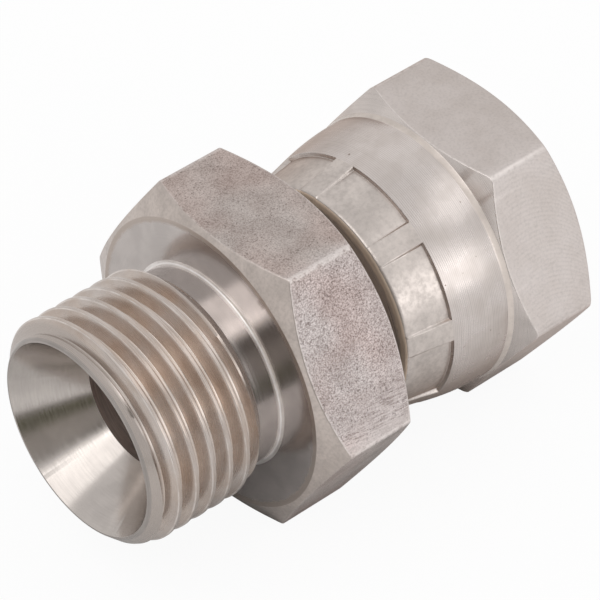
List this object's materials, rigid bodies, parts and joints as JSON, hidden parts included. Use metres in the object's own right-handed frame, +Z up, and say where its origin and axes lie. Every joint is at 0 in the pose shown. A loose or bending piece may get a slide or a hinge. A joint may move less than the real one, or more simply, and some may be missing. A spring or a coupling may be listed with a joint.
{
  "type": "swivel adapter",
  "caption": "Hydraulic swivel adapter: male pipe thread with a cone seat on a hexagon body, joined to a crimped female hexagon nut that turns freely.",
  "frame": {"origin": "on the fitting's axis, in the plane of the sealing face behind the male thread", "axes": "+X along the fitting's axis from the male end towards the nut's open face, +Z up through a flat of the body's hexagon"},
  "size_m": [0.0462, 0.0324, 0.028],
  "materials": {
    "body_steel": "turned and blasted stainless steel",
    "nut_steel": "turned and milled stainless steel"
  },
  "bodies": {
    "body": {"adaptor_body": "body_steel"},
    "nut": {"swivel_nut": "nut_steel"}
  },
  "joints": [
    {"name": "nut_spin", "type": "hinge", "parent": "body", "child": "nut", "pos_m": [0.0222, 0, -0.00045], "axis": [1, 0, 0], "continuous": true}
  ]
}
